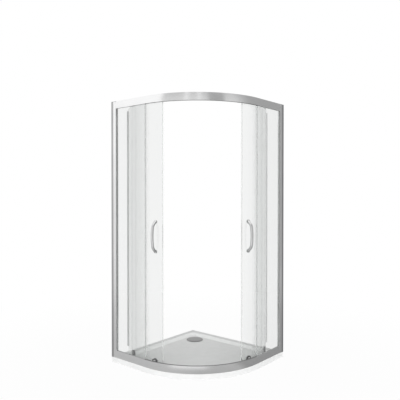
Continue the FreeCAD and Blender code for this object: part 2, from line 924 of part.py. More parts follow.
# guide track behind the bottom rail
guide_outer = door_inner - size("guide_gap")
guide_inner = guide_outer - size("guide_thickness")
guide_wheel_outer = guide_inner - size("guide_side_gap")
guide_wheel_inner = guide_wheel_outer - size("guide_wheel_width")
lip_middle = (guide_wheel_outer + guide_wheel_inner) / 2
lip_outer = lip_middle + size("lip_thickness") / 2
lip_inner = lip_middle - size("lip_thickness") / 2
lip_top = deck + size("lip_height")
foot_top = deck + size("track_wall")
foot_inner = lip_inner - size("lip_foot")
keep(sector(
    "guide_track", -size("track_end_angle"),
    [([[
        (foot_inner, deck), (track_outer, deck), (track_outer, foot_top), (lip_outer, foot_top),
        (lip_outer, lip_top), (lip_inner, lip_top), (lip_inner, foot_top), (foot_inner, foot_top),
    ]], track_sweep)],
))

# door glass with its holes
axle_guide_z = lip_top + size("wheel_gap") + size("guide_wheel_tread")
blank = sector(
    "door_glass_blank", trail_angle,
    [([box(door_inner, door_outer, door_foot, door_top)], glass_lead - trail_angle)],
)
drilling = box(door_inner - glass, door_outer + glass, ZERO, size("glass_hole_radius"))
glass_holes = [radial(unique("glass_hole"), angle, guide_z, drilling) for place_name, angle in roller_angles]
for way in (rise_half, -rise_half):
    glass_holes.append(radial(unique("glass_hole"), handle_angle, handle_z + way, drilling))
keep_pair(cut("door_glass_left", blank, glass_holes))

# door seals
slot_near = door_inner - size("seal_fit")
slot_far = door_outer + size("seal_fit")
shell_near = slot_near - size("seal_wall")
shell_far = slot_far + size("seal_wall")
seal_top = seal_foot + seal_length
cheeks = [box(shell_near, slot_near, seal_foot, seal_top), box(slot_far, shell_far, seal_foot, seal_top)]
magnet_end = lead_angle - turn(size("magnet_gap"), door_middle)
nose = turn(size("magnet_width") - size("magnet_gap") - size("seal_fit"), door_middle)
hold = nose + turn(size("magnet_clip"), door_middle)
keep_pair(sector(
    "magnetic_seal_left", magnet_end,
    [([box(shell_near, shell_far, seal_foot, seal_top)], nose), (cheeks, hold)], back=True,
))
fin_tip = shell_far + size("edge_fin_reach")
tail = turn(size("edge_seal_width") - size("seal_fit"), door_middle)
grip = tail + turn(size("edge_seal_clip"), door_middle)
fin = turn(size("edge_fin_thickness"), door_middle)
keep_pair(sector(
    "trailing_seal_left", trail_angle - turn(size("edge_seal_width"), door_middle),
    [
        ([box(shell_near, shell_far, seal_foot, seal_top)], tail),
        (cheeks, grip),
        ([box(shell_near, fin_tip, seal_foot, seal_top)], fin),
    ],
))

# hangers, running axles and running wheels
hanger_foot = door_top - size("hanger_grip")
hanger_top = axle_top_z + size("hanger_crest")
hanger_in = door_outer - size("hanger_body")
cheek_out = slot_far + size("hanger_cheek")
cheek_top = ledge_foot - size("hanger_cheek_lift")
hanger_sweep = turn(size("hanger_length"), door_middle)
axle_hole = size("axle_radius") + size("axle_fit")
axle_seat = hanger_in * cosine(turn(size("axle_head_radius"), hanger_in)) - size("axle_fit")
hangers = []
running_axles = []
edge = size("wheel_edge")
for word, angle in roller_angles:
    hanger_blank = sector(
        unique("hanger_blank"), angle - hanger_sweep / 2,
        [([[
            (hanger_in, hanger_foot), (slot_near, hanger_foot), (slot_near, door_top + size("seal_fit")),
            (slot_far, door_top + size("seal_fit")), (slot_far, hanger_foot), (cheek_out, hanger_foot),
            (cheek_out, cheek_top), (door_outer, cheek_top), (door_outer, hanger_top),
            (hanger_in, hanger_top),
        ]], hanger_sweep)],
    )
    bore = radial(
        unique("hanger_bore"), angle, axle_top_z,
        box(hanger_in - glass, door_outer + glass, ZERO, axle_hole),
    )
    hangers.append(cut(unique("hanger"), hanger_blank, [bore]))
    running_axles.append(radial(
        unique("running_axle"), angle, axle_top_z,
        [
            (axle_seat - size("axle_head"), ZERO), (wheel_outer, ZERO),
            (wheel_outer, size("axle_radius")), (axle_seat, size("axle_radius")),
            (axle_seat, size("axle_head_radius")),
            (axle_seat - size("axle_head"), size("axle_head_radius")),
        ],
    ))
    keep_pair(radial(
        f"running_wheel_{word}_left", angle, axle_top_z,
        [
            (wheel_inner, axle_hole), (wheel_outer, axle_hole),
            (wheel_outer, size("top_wheel_radius") - edge),
            (wheel_outer - edge, size("top_wheel_radius")),
            (wheel_inner + edge, size("top_wheel_radius")),
            (wheel_inner, size("top_wheel_radius") - edge),
        ],
    ))
keep_pair(group("hangers_left", hangers))
keep_pair(group("running_axles_left", running_axles))

# guides at the foot of the door
arm_half = size("guide_arm_width") / 2
cap_near = door_outer + size("guide_cap_gap")
cap_far = cap_near + size("guide_cap_thickness")
cap_edge = size("guide_cap_edge")
dish_floor = cap_far - size("guide_cap_dish")
bolt_hole = size("guide_bolt_radius") + size("guide_bolt_fit")
bolt_end = cap_near + size("guide_bolt_end")
groove_side = (size("guide_wheel_width") - size("guide_groove_width")) / 2
guides = []
guide_bolts = []
guide_caps = []
guide_axles = []
for word, angle in roller_angles:
    disc = radial(
        unique("guide_disc"), angle, guide_z, box(guide_inner, guide_outer, ZERO, size("guide_radius")),
    )
    arm = new_body(unique("guide_arm"))
    arm_sketch = new_sketch(arm, "XZ_Plane", [box(guide_inner, guide_outer, axle_guide_z, guide_z)])
    add_pad(arm, arm_sketch, size("guide_arm_width"), middle=True)
    place(arm, bend_x, bend_y, ZERO, angle - right_angle)
    end = radial(unique("guide_arm_end"), angle, axle_guide_z, box(guide_inner, guide_outer, ZERO, arm_half))
    drill = box(guide_inner - glass, guide_outer + glass, ZERO, bolt_hole)
    pivot = box(guide_inner - glass, guide_outer + glass, ZERO, axle_hole)
    guides.append(cut(unique("guide"), fuse(unique("guide_body"), [disc, arm, end]), [
        radial(unique("guide_drill"), angle, guide_z, drill),
        radial(unique("guide_pivot"), angle, axle_guide_z, pivot),
    ]))
    guide_bolts.append(radial(
        unique("guide_bolt"), angle, guide_z,
        [
            (guide_inner - size("guide_bolt_head"), ZERO), (bolt_end, ZERO),
            (bolt_end, size("guide_bolt_radius")), (guide_inner, size("guide_bolt_radius")),
            (guide_inner, size("guide_bolt_head_radius")),
            (guide_inner - size("guide_bolt_head"), size("guide_bolt_head_radius")),
        ],
    ))
    guide_caps.append(radial(
        unique("guide_cap"), angle, guide_z,
        [
            (bolt_end + size("axle_end_gap"), ZERO), (dish_floor, ZERO),
            (dish_floor, size("guide_cap_dish_radius")), (cap_far, size("guide_cap_dish_radius") + cap_edge),
            (cap_far, size("guide_radius") - cap_edge), (cap_far - cap_edge, size("guide_radius")),
            (cap_near, size("guide_radius")), (cap_near, bolt_hole),
            (bolt_end + size("axle_end_gap"), bolt_hole),
        ],
    ))
    axle_in = guide_wheel_inner - size("guide_side_gap")
    guide_axles.append(radial(
        unique("guide_axle"), angle, axle_guide_z,
        [
            (axle_in - size("axle_head"), ZERO), (guide_outer - size("axle_end_gap"), ZERO),
            (guide_outer - size("axle_end_gap"), size("axle_radius")), (axle_in, size("axle_radius")),
            (axle_in, size("axle_head_radius")),
            (axle_in - size("axle_head"), size("axle_head_radius")),
        ],
    ))
    keep_pair(radial(
        f"guide_wheel_{word}_left", angle, axle_guide_z,
        [
            (guide_wheel_inner, axle_hole), (guide_wheel_outer, axle_hole),
            (guide_wheel_outer, size("guide_wheel_radius")),
            (guide_wheel_outer - groove_side, size("guide_wheel_radius")),
            (guide_wheel_outer - groove_side, size("guide_wheel_tread")),
            (guide_wheel_inner + groove_side, size("guide_wheel_tread")),
            (guide_wheel_inner + groove_side, size("guide_wheel_radius")),
            (guide_wheel_inner, size("guide_wheel_radius")),
        ],
    ))
keep_pair(group("bottom_guides_left", guides))
keep_pair(group("guide_bolts_left", guide_bolts))
keep_pair(group("guide_caps_left", guide_caps))
keep_pair(group("guide_axles_left", guide_axles))

# handle, its screws and washers
washer_out = door_outer + size("washer_gap")
rosette_near = washer_out + size("washer_thickness")
bow = size("handle_bow_angle")
lean = size("handle_lean_angle")
bend = size("handle_bend")
bar_r = size("handle_radius")
lean_in = cosine(lean) / sine(lean)
knee = rosette_near + size("handle_leg")
knee_rise = rise_half - size("handle_leg") * lean_in
shoulder = knee + bend * (cosine(bow) - cosine(lean))
rise = knee_rise - bend * (sine(lean) - sine(bow))
bow_radius = rise / sine(bow)
bar_start = rosette_near - bar_r
start_rise = rise_half + bar_r * lean_in
bar = new_body("handle_bar")
path = new_sketch(
    bar, "XZ_Plane",
    [[
        (bar_start, -start_rise), (knee, -knee_rise, bend), (shoulder, -rise, bow_radius),
        (shoulder, rise, bend), (knee, knee_rise), (bar_start, start_rise),
    ]],
    closed=False,
)
ring_sketch = new_sketch(bar, "YZ_Plane", [])
ring_sketch.AttachmentOffset = FreeCAD.Placement(
    FreeCAD.Vector(0, -start_rise.value, bar_start.value),
    FreeCAD.Rotation(FreeCAD.Vector(-1, 0, 0), (right_angle - lean).value),
)
ring_sketch.setExpression("AttachmentOffset.Base.y", (-start_rise).text)
ring_sketch.setExpression("AttachmentOffset.Base.z", bar_start.text)
ring_sketch.setExpression("AttachmentOffset.Rotation.Angle", (right_angle - lean).text)
bar_circle = Part.Circle(FreeCAD.Vector(0, 0, 0), FreeCAD.Vector(0, 0, 1), bar_r.value)
ring_sketch.addGeometry(bar_circle, False)
ring_sketch.addConstraint(Sketcher.Constraint("Coincident", 0, 3, -1, 1))
ring_limit = ring_sketch.addConstraint(Sketcher.Constraint("Radius", 0, bar_r.value))
ring_sketch.setExpression(f"Constraints[{ring_limit}]", bar_r.text)
doc.recompute()
pipe = bar.newObject("PartDesign::AdditivePipe", "handle_pipe")
pipe.Profile = ring_sketch
pipe.Spine = (path, [f"Edge{number}" for number in range(1, path.GeometryCount + 1)])
place(bar, bend_x, bend_y, handle_z, handle_angle - right_angle)
rosettes = []
tappings = []
washers = []
handle_screws = []
washer_in = door_inner - size("washer_gap")
head_out = washer_in - size("washer_thickness")
screw_r = size("handle_screw_radius")
screw_clear = screw_r + size("handle_screw_fit")
screw_tip = rosette_near + size("handle_screw_depth")
tap_end = screw_tip + size("axle_end_gap")
trim = bar_r * 2
for way in (rise_half, -rise_half):
    height = handle_z + way
    rosettes.append(radial(
        unique("rosette"), handle_angle, height,
        box(rosette_near, rosette_near + size("rosette_thickness"), ZERO, size("rosette_radius")),
    ))
    tappings.append(radial(
        unique("handle_tapping"), handle_angle, height,
        [
            (rosette_near - trim, ZERO), (tap_end, ZERO), (tap_end, screw_clear),
            (rosette_near, screw_clear), (rosette_near, trim), (rosette_near - trim, trim),
        ],
    ))
    for near, far in ((washer_out, rosette_near), (head_out, washer_in)):
        washers.append(radial(
            unique("handle_washer"), handle_angle, height, box(near, far, screw_clear, size("rosette_radius")),
        ))
    handle_screws.append(radial(
        unique("handle_screw"), handle_angle, height,
        [
            (head_out - size("handle_screw_head"), ZERO), (screw_tip, ZERO), (screw_tip, screw_r),
            (head_out, screw_r), (head_out, size("handle_screw_head_radius")),
            (head_out - size("handle_screw_head"), size("handle_screw_head_radius")),
        ],
    ))
keep_pair(cut("handle_left", fuse("handle_blank", [bar] + rosettes), tappings))
keep_pair(group("handle_washers_left", washers))
keep_pair(group("handle_screws_left", handle_screws))

doc.recompute()
for item in doc.Objects:
    if "Invalid" in item.State or "Error" in item.State:
        raise RuntimeError(f"{item.Label} did not compute: {item.State}")
os.makedirs("parts", exist_ok=True)
for node in nodes:
    if node.Shape.isNull() or not node.Shape.isValid():
        raise RuntimeError(f"{node.Label} has no valid shape")
    node.Shape.exportStep(f"parts/{node.Label}.step")
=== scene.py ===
import json
import math

import bpy
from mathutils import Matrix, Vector

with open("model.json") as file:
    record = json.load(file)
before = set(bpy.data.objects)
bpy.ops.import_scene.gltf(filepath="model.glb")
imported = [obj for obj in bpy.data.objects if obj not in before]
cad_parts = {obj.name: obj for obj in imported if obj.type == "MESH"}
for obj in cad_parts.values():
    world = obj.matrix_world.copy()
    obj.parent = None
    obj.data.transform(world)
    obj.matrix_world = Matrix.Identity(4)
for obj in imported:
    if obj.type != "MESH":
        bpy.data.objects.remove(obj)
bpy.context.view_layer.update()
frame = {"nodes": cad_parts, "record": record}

# Places on the part. Lengths are in metres, in the frame of the solids. Bearings are in degrees
# from -Y towards +X.
BEND_AXIS = (-0.100, 0.100)
RAIL_FACE = 0.5568
DRAIN_CENTRE = (-0.285, 0.285)
# The guides of one door, about the bend axis. Those of the other door mirror them about the
# diagonal, and a bearing and its mirror image add up to a right angle.
GUIDE_BEARINGS = (6.735, -20.265)
MIRROR_SUM = 90.0
GUIDE_HEIGHT = 0.084
GUIDE_DISH = 0.0122
TRAY_RIM_FROM = 0.033
TRAY_FLOOR_TO = 0.0225
# The least upright share of a surface normal on the tray's flats.
TRAY_FLAT = 0.985

# Noise as (scale, detail). Its values lie mostly between the low and the high.
NOISE_LOW = 0.3
NOISE_HIGH = 0.7
DIE_BROAD = (55.0, 2.0)
DIE_FINE = (900.0, 4.0)
DIE_CLOUD = (6.0, 4.0)
CHROME_CLOUD = (40.0, 5.0)
CHROME_WAVES = (260.0, 2.0)
TURNED_RINGS = (1400.0, 3.0)
MOULD_CLOUD = (25.0, 4.0)
MOULD_HAZE = (120.0, 4.0)
MOULD_GRAIN = (500.0, 3.0)
TRAY_GRAIN = (180.0, 3.0)
SEAL_GRAIN = (700.0, 3.0)
CAP_CLOUD = (60.0, 4.0)
GLASS_HAZE = (9.0, 3.0)
GLASS_WAVES = (3.0, 1.0)
PAPER_CLOUD = (2.0, 4.0)
PAPER_HAZE = (14.0, 4.0)

# Die lines: how far they are drawn out along Z, and the shares of the broad and the fine ones.
DIE_STRETCH = (1.0, 1.0, 0.004)
DIE_BROAD_SHARE = 0.6
DIE_FINE_SHARE = 0.4

# Depths of relief.
DIE_DEPTH = 0.00002
CHROME_DEPTH = 0.00001
TURNED_DEPTH = 0.00003
MOULD_DEPTH = 0.00003
TRAY_DEPTH = 0.00002
SEAL_DEPTH = 0.00002
GLASS_DEPTH = 0.0001

# A look is two colours and two roughnesses that the finish drifts between.
BRIGHT_METAL = ((0.90, 0.905, 0.91), (0.95, 0.95, 0.95), 0.14, 0.24)
SATIN_METAL = ((0.44, 0.445, 0.45), (0.49, 0.49, 0.49), 0.30, 0.42)
HANDLE_CHROME = ((0.77, 0.77, 0.78), (0.83, 0.83, 0.83), 0.05, 0.12)
SCREW_STEEL = ((0.50, 0.50, 0.51), (0.58, 0.58, 0.58), 0.20, 0.32)
DRAIN_METAL = ((0.20, 0.20, 0.20), (0.26, 0.26, 0.26), 0.26, 0.38)
DRAIN_PLASTIC = ((0.36, 0.36, 0.37), (0.42, 0.42, 0.43), 0.40, 0.55)
GREY_PLASTIC = ((0.30, 0.30, 0.31), (0.36, 0.36, 0.37), 0.38, 0.52)
WHEEL_ACETAL = ((0.74, 0.74, 0.73), (0.80, 0.80, 0.79), 0.30, 0.42)
HANGER_NYLON = ((0.86, 0.86, 0.85), (0.91, 0.91, 0.90), 0.35, 0.50)
# Grey gasket rubber, partly painted shade: its lips beside the posts stand in for the shade on
# the posts' inner faces.
GASKET_RUBBER_AND_SHADE = ((0.43, 0.43, 0.43), (0.48, 0.48, 0.48), 0.50, 0.65)
# Dark rubber infill, partly painted shade: its dark along the rails' edges stands in for the
# shade under the top rail and over the bottom rail.
INFILL_RUBBER_AND_SHADE = ((0.15, 0.15, 0.15), (0.19, 0.19, 0.19), 0.45, 0.60)
SEAL_PVC = ((0.66, 0.67, 0.67), (0.72, 0.73, 0.73), 0.30, 0.45)
PANEL_SEAL = ((0.60, 0.61, 0.61), (0.66, 0.67, 0.67), 0.30, 0.45)
MAGNET_SEAL = ((0.80, 0.81, 0.81), (0.86, 0.87, 0.87), 0.30, 0.45)
FLOOR_PAPER = ((0.50, 0.50, 0.50), (0.54, 0.54, 0.54), 0.6, 0.8)

# How much of the light each kind of seal stops.
SEAL_PVC_BODY = 0.60
PANEL_SEAL_BODY = 0.14
MAGNET_SEAL_BODY = 0.05

# Finishes whose colour changes from place to place.
TRAY_WHITE = ((0.875, 0.88, 0.875), (0.915, 0.917, 0.915))
# Painted shade: greys for the tray's upward rim and floor flats, darker than its white, standing
# in for the lesser light on them.
TRAY_RIM_PAINTED_SHADE = ((0.71, 0.715, 0.71), (0.75, 0.752, 0.75))
TRAY_FLOOR_PAINTED_SHADE = ((0.79, 0.795, 0.79), (0.83, 0.832, 0.83))
TRAY_ROUGH = (0.50, 0.62)
TRAY_SHINE = 0.05
CAP_DARK = ((0.05, 0.05, 0.05), (0.08, 0.08, 0.08))
CAP_LIGHT = ((0.40, 0.40, 0.40), (0.46, 0.46, 0.46))
CAP_ROUGH = (0.35, 0.50)
# Glass seen straight on and aslant, and what it lets through of lamp light and mirrored rays.
GLASS_TINTS = ((0.890, 0.896, 0.893), (0.67, 0.68, 0.675))
GLASS_CLEAR = (0.88, 0.89, 0.885, 1.0)
GLASS_ROUGH = (0.0, 0.003)
GLASS_IOR = 1.5
GLASS_SLANT = 0.5
# The least share of a surface normal that points out of the bend on a pane's faces.
GLASS_FACE = 0.5
DOOR_EDGE = (0.50, 0.54, 0.52)
PANEL_EDGE = (0.14, 0.17, 0.16)

CAMERA_PLACE = (2.310906, -2.734594, 1.221378)
CAMERA_TURN = (89.2706, 0.0, 40.0594)
CAMERA_LENS = 43.694
CAMERA_SENSOR = 36.0

# The floor fades to plain white away from the part.
FLOOR_SPAN = 80.0
FLOOR_DROP = 0.0006
FLOOR_NEAR = 0.7
FLOOR_FAR = 2.6
FLOOR_LIFT_NEAR = 0.97

# The world lights the part from one side. Seen directly it is white.
WHITE = (1.0, 1.0, 1.0, 1.0)
SKY_FRONT = 2.4
SKY_BACK = 0.0
SKY_FACES = (0.64, -0.56, -0.53)

# Softboxes as (name, place, size, power).
SOFTBOXES = (
    ("back_softbox", (-3.6, 3.8, 0.7), (5.0, 1.2), 110.0),
    ("side_softbox", (-3.6, -4.4, 1.8), (2.4, 2.4), 30.0),
)
SOFTBOX_AIM = (0, 0, 0.6)

# Grey studio walls, cards and ground that show only in reflections.
WALL_REACH = 5.0
WALL_HEIGHT = 6.0
WALL_FROM = -16.0
WALL_TO = 175.0
WALL_STEPS = 48
WALL_EDGE_TURNS = (WALL_FROM, -2.0)
WALL_LEFT_LOW = 0.67
WALL_LEFT_HIGH = 0.56
WALL_RIGHT = 0.37
WALL_TURNS = (92.0, 126.0)
WALL_DIMS = (1.5, 4.5)
SIDE_WALL_FROM = -125.0
SIDE_WALL_TURNS = (-74.0, -35.0)
SIDE_WALL_DIMS = (0.6, 2.4)
SIDE_WALL_DARK = 0.70
# Cards in front of the wall as (name, bearing, width, grey).
CARDS = (
    ("strip_0", 25.0, 0.45, 0.90),
    ("strip_1", 43.0, 0.45, 0.84),
    ("flag", 68.0, 2.0, 0.38),
)
CARD_REACH = 4.9
CARD_STEPS = 4
GROUND_DROP = 0.0003
GROUND_REACH = 5.0
GROUND_LEFT = 0.49
GROUND_MIDDLE = 0.43
GROUND_RIGHT = 0.30
GROUND_FIRST_TURNS = (10.0, 55.0)
GROUND_LAST_TURNS = (85.0, 97.0)
GROUND_NEAR = 0.6
GROUND_FAR_SHARE = 1.5
# A lighter patch of the ground, by its distance from the rails.
PATCH_STARTS = (0.0, 12.0)
PATCH_ENDS = (45.0, 60.0)
PATCH_NEAR = 0.05
PATCH_FAR = 0.55
PATCH_LIFT = 0.26

# A ray's bounces are counted in whole numbers. This parts none from one.
ANY_BOUNCE = 0.5
# Sockets of a Mix node set to colours: share, first colour, second colour.
MIX_INPUTS = (0, 6, 7)
MIX_RESULT = 2


class Finish:
    """A material built round one Principled shader."""

    def __init__(self, name):
        self.material = bpy.data.materials.new(name)
        self.material.use_nodes = True
        self.tree = self.material.node_tree
        self.surface = self.tree.nodes["Principled BSDF"]
        self.output = self.tree.nodes["Material Output"]

    def put(self, socket, value):
        if isinstance(value, bpy.types.NodeSocket):
            self.tree.links.new(value, socket)
        else:
            socket.default_value = value

    def node(self, kind, *values, **settings):
        made = self.tree.nodes.new(kind)
        for name, value in settings.items():
            setattr(made, name, value)
        for index, value in enumerate(values):
            if value is not None:
                self.put(made.inputs[index], value)
        return made

    def set(self, **values):
        for name, value in values.items():
            self.put(self.surface.inputs[name.replace("_", " ")], value)

    def math(self, operation, first, second=None):
        return self.node("ShaderNodeMath", first, second, operation=operation).outputs[0]

    def vector(self, x, y, z):
        return self.node("ShaderNodeCombineXYZ", x, y, z).outputs[0]

    def length(self, vector):
        made = self.node("ShaderNodeVectorMath", vector, operation="LENGTH")
        return made.outputs["Value"]

    def dot(self, first, second):
        made = self.node("ShaderNodeVectorMath", first, second, operation="DOT_PRODUCT")
        return made.outputs["Value"]

    def noise(self, vector, scale, detail):
        made = self.node("ShaderNodeTexNoise")
        self.put(made.inputs["Vector"], vector)
        made.inputs["Scale"].default_value = scale
        made.inputs["Detail"].default_value = detail
        return made.outputs["Fac"]

    def between(self, value, low, high):
        made = self.node("ShaderNodeMapRange", value, NOISE_LOW, NOISE_HIGH, low, high)
        return made.outputs[0]

    def fade(self, value, near, far, low, high):
        made = self.node("ShaderNodeMapRange", value, near, far, low, high)
        made.interpolation_type = "SMOOTHSTEP"
        return made.outputs[0]

    def tint(self, value, low, high):
        made = self.node("ShaderNodeValToRGB", value)
        ends = made.color_ramp.elements
        ends[0].position, ends[0].color = NOISE_LOW, (*low, 1.0)
        ends[1].position, ends[1].color = NOISE_HIGH, (*high, 1.0)
        return made.outputs[0]

    def blend(self, share, first, second):
        """The first colour where the share is 0, the second where it is 1."""
        made = self.node("ShaderNodeMix", data_type="RGBA")
        for index, value in zip(MIX_INPUTS, (share, first, second)):
            self.put(made.inputs[index], value)
        return made.outputs[MIX_RESULT]

    def mixed(self, share, first, second):
        """The first shader where the share is 0, the second where it is 1."""
        return self.node(
            "ShaderNodeMixShader", share, first.outputs[0], second.outputs[0]
        )

    def show(self, shader):
        self.tree.links.new(shader.outputs[0], self.output.inputs["Surface"])

    def bump(self, height, depth):
        made = self.node("ShaderNodeBump")
        made.inputs["Strength"].default_value = 1.0
        made.inputs["Distance"].default_value = depth
        self.put(made.inputs["Height"], height)
        self.set(Normal=made.outputs[0])

    def wear(self, cloud, haze, low, high, smooth, rough):
        """Drifts the colour by one noise and the roughness by another."""
        self.set(
            Base_Color=self.tint(cloud, low, high),
            Roughness=self.between(haze, smooth, rough),
        )

    def grained(self, smooth, rough, grain, depth):
        """The dull surface of a moulding, with a fine even grain."""
        haze = self.noise(self.spot(), *MOULD_HAZE)
        self.set(Roughness=self.between(haze, smooth, rough))
        self.bump(self.noise(self.spot(), *grain), depth)

    def spot(self):
        """A point's place on the piece at rest, in metres."""
        return self.node("ShaderNodeTexCoord").outputs["Object"]

    def spot_from(self, x=0.0, y=0.0, z=0.0):
        """A point's offsets from a place, along each axis."""
        axes = self.node("ShaderNodeSeparateXYZ", self.spot()).outputs
        return [
            self.math("SUBTRACT", axis, start) if start else axis
            for axis, start in zip(axes, (x, y, z))
        ]

    def normal(self):
        return self.node("ShaderNodeTexCoord").outputs["Normal"]

    def outward(self):
        """From the bend axis, or from the straight lines that go on from it, out to a point."""
        x, y, _ = self.spot_from(*BEND_AXIS)
        return self.vector(self.math("MAXIMUM", x, 0.0), self.math("MINIMUM", y, 0.0), 0.0)

    def upright_lines(self):
        """Coordinates for lines along an upright profile."""
        made = self.node("ShaderNodeMapping", self.spot())
        made.inputs["Scale"].default_value = DIE_STRETCH
        return made.outputs[0]

    def rail_lines(self):
        """A point's place in the cross-section of a rail, for lines along the rail."""
        height = self.spot_from()[2]
        return self.vector(self.length(self.outward()), height, 0.0)


def aluminium(name, look, lines_of):
    """Extruded aluminium with fine die lines along its length."""
    finish = Finish(name)
    lines = lines_of(finish)
    broad = finish.noise(lines, *DIE_BROAD)
    fine = finish.noise(lines, *DIE_FINE)
    streaks = finish.math(
        "ADD",
        finish.math("MULTIPLY", broad, DIE_BROAD_SHARE),
        finish.math("MULTIPLY", fine, DIE_FINE_SHARE),
    )
    finish.wear(finish.noise(finish.spot(), *DIE_CLOUD), streaks, *look)
    finish.set(Metallic=1.0)
    finish.bump(fine, DIE_DEPTH)
    return finish.material


def chrome(name, look):
    """Plated metal with faint haze."""
    finish = Finish(name)
    cloud = finish.noise(finish.spot(), *CHROME_CLOUD)
    finish.wear(cloud, cloud, *look)
    finish.set(Metallic=1.0)
    finish.bump(finish.noise(finish.spot(), *CHROME_WAVES), CHROME_DEPTH)
    return finish.material


def turned_metal(name, look, centre):
    """Metal with the round lines of turning about an upright axis."""
    finish = Finish(name)
    x, y, _ = finish.spot_from(*centre)
    reach = finish.length(finish.vector(x, y, 0.0))
    rings = finish.noise(finish.vector(reach, 0.0, 0.0), *TURNED_RINGS)
    finish.wear(rings, rings, *look)
    finish.set(Metallic=1.0)
    finish.bump(rings, TURNED_DEPTH)
    return finish.material


def moulded(name, look, body=1.0, grain=MOULD_GRAIN, depth=MOULD_DEPTH):
    """Moulded plastic or rubber, clear as far as its body is less than 1."""
    finish = Finish(name)
    low, high, smooth, rough = look
    cloud = finish.noise(finish.spot(), *MOULD_CLOUD)
    finish.set(Base_Color=finish.tint(cloud, low, high), Alpha=body)
    finish.grained(smooth, rough, grain, depth)
    return finish.material


def soft_seal(name, look, body):
    """Half-clear seal strip."""
    return moulded(name, look, body, SEAL_GRAIN, SEAL_DEPTH)


def acrylic_with_painted_shade(name):
    """Satin white tray acrylic. Its upward flats on the rim and the floor are painted greyer
    than the sloped band between them: painted shade, standing in for the lesser light they get
    than the slope, which is turned towards the light.
    """
    finish = Finish(name)
    height = finish.spot_from()[2]
    upward = finish.node("ShaderNodeSeparateXYZ", finish.normal()).outputs[2]
    flat = finish.math("GREATER_THAN", upward, TRAY_FLAT)
    cloud = finish.noise(finish.spot(), *MOULD_CLOUD)
    colour = finish.tint(cloud, *TRAY_WHITE)
    # Paints shade on the upward flats of the rim and of the floor.
    for sign, limit, shade_greys in (
        ("GREATER_THAN", TRAY_RIM_FROM, TRAY_RIM_PAINTED_SHADE),
        ("LESS_THAN", TRAY_FLOOR_TO, TRAY_FLOOR_PAINTED_SHADE),
    ):
        painted_shade_mask = finish.math("MULTIPLY", flat, finish.math(sign, height, limit))
        colour = finish.blend(painted_shade_mask, colour, finish.tint(cloud, *shade_greys))
    finish.set(Base_Color=colour, Specular_IOR_Level=TRAY_SHINE)
    finish.grained(*TRAY_ROUGH, TRAY_GRAIN, TRAY_DEPTH)
    return finish.material


def guide_cap(name):
    """Dark moulded cap whose dished middle is lighter."""
    finish = Finish(name)
    x, y, z = finish.spot_from(*BEND_AXIS, GUIDE_HEIGHT)
    nearest = None
    mirrored = (MIRROR_SUM - bearing for bearing in GUIDE_BEARINGS)
    for bearing in (*GUIDE_BEARINGS, *mirrored):
        along = finish.math(
            "ADD",
            finish.math("MULTIPLY", x, math.cos(math.radians(bearing))),
            finish.math("MULTIPLY", y, math.sin(math.radians(bearing))),
        )
        offset = finish.length(finish.vector(along, z, 0.0))
        nearest = offset if nearest is None else finish.math("MINIMUM", nearest, offset)
    dish = finish.math("LESS_THAN", nearest, GUIDE_DISH)
    cloud = finish.noise(finish.spot(), *CAP_CLOUD)
    dark, light = finish.tint(cloud, *CAP_DARK), finish.tint(cloud, *CAP_LIGHT)
    finish.set(Base_Color=finish.blend(dish, dark, light))
    finish.grained(*CAP_ROUGH, MOULD_GRAIN, MOULD_DEPTH)
    return finish.material


def glass(name, edge):
    """Clear toughened glass with a colour of its own on its narrow edges.

    Lamp light and mirrored rays pass straight through it.
    """
    finish = Finish(name)
    out = finish.node("ShaderNodeVectorMath", finish.outward(), operation="NORMALIZE")
    facing = finish.math("ABSOLUTE", finish.dot(finish.normal(), out.outputs["Vector"]))
    slant = finish.node("ShaderNodeLayerWeight", GLASS_SLANT).outputs["Facing"]
    haze = finish.noise(finish.spot(), *GLASS_HAZE)
    finish.set(
        Base_Color=finish.blend(
            finish.math("GREATER_THAN", facing, GLASS_FACE),
            (*edge, 1.0),
            finish.tint(slant, *GLASS_TINTS),
        ),
        Roughness=finish.between(haze, *GLASS_ROUGH),
        IOR=GLASS_IOR,
        Transmission_Weight=1.0,
    )
    finish.bump(finish.noise(finish.spot(), *GLASS_WAVES), GLASS_DEPTH)
    clear = finish.node("ShaderNodeBsdfTransparent", GLASS_CLEAR)
    rays = finish.node("ShaderNodeLightPath").outputs
    shader = finish.surface
    for kind in ("Is Reflection Ray", "Is Shadow Ray"):
        shader = finish.mixed(rays[kind], shader, clear)
    finish.show(shader)
    return finish.material


# Finishes by material slot, and those of pieces that differ from the rest of their slot.
# The rails' dark infill: rubber, and partly painted shade along the rails' edges.
infill_rubber_and_shade = moulded("infill_rubber_and_shade", INFILL_RUBBER_AND_SHADE)
finishes = {
    "tray_white": acrylic_with_painted_shade("tray_acrylic_painted_shade"),
    "drain_chrome": turned_metal("drain_metal", DRAIN_METAL, DRAIN_CENTRE),
    "drain_plastic": moulded("drain_plastic", DRAIN_PLASTIC),
    "frame_aluminium": aluminium("rail_aluminium", BRIGHT_METAL, Finish.rail_lines),
    "glass_clear": glass("door_clear_glass", DOOR_EDGE),
    "handle_chrome": chrome("handle_chrome", HANDLE_CHROME),
    "steel": chrome("screw_steel", SCREW_STEEL),
    "grey_plastic": moulded("grey_plastic", GREY_PLASTIC),
    "wheel_plastic": moulded("wheel_acetal", WHEEL_ACETAL),
    "seal_pvc": soft_seal("seal_pvc", SEAL_PVC, SEAL_PVC_BODY),
    # Gasket rubber, and partly painted shade in its lips beside the posts.
    "gasket_rubber": moulded("gasket_rubber", GASKET_RUBBER_AND_SHADE),
}
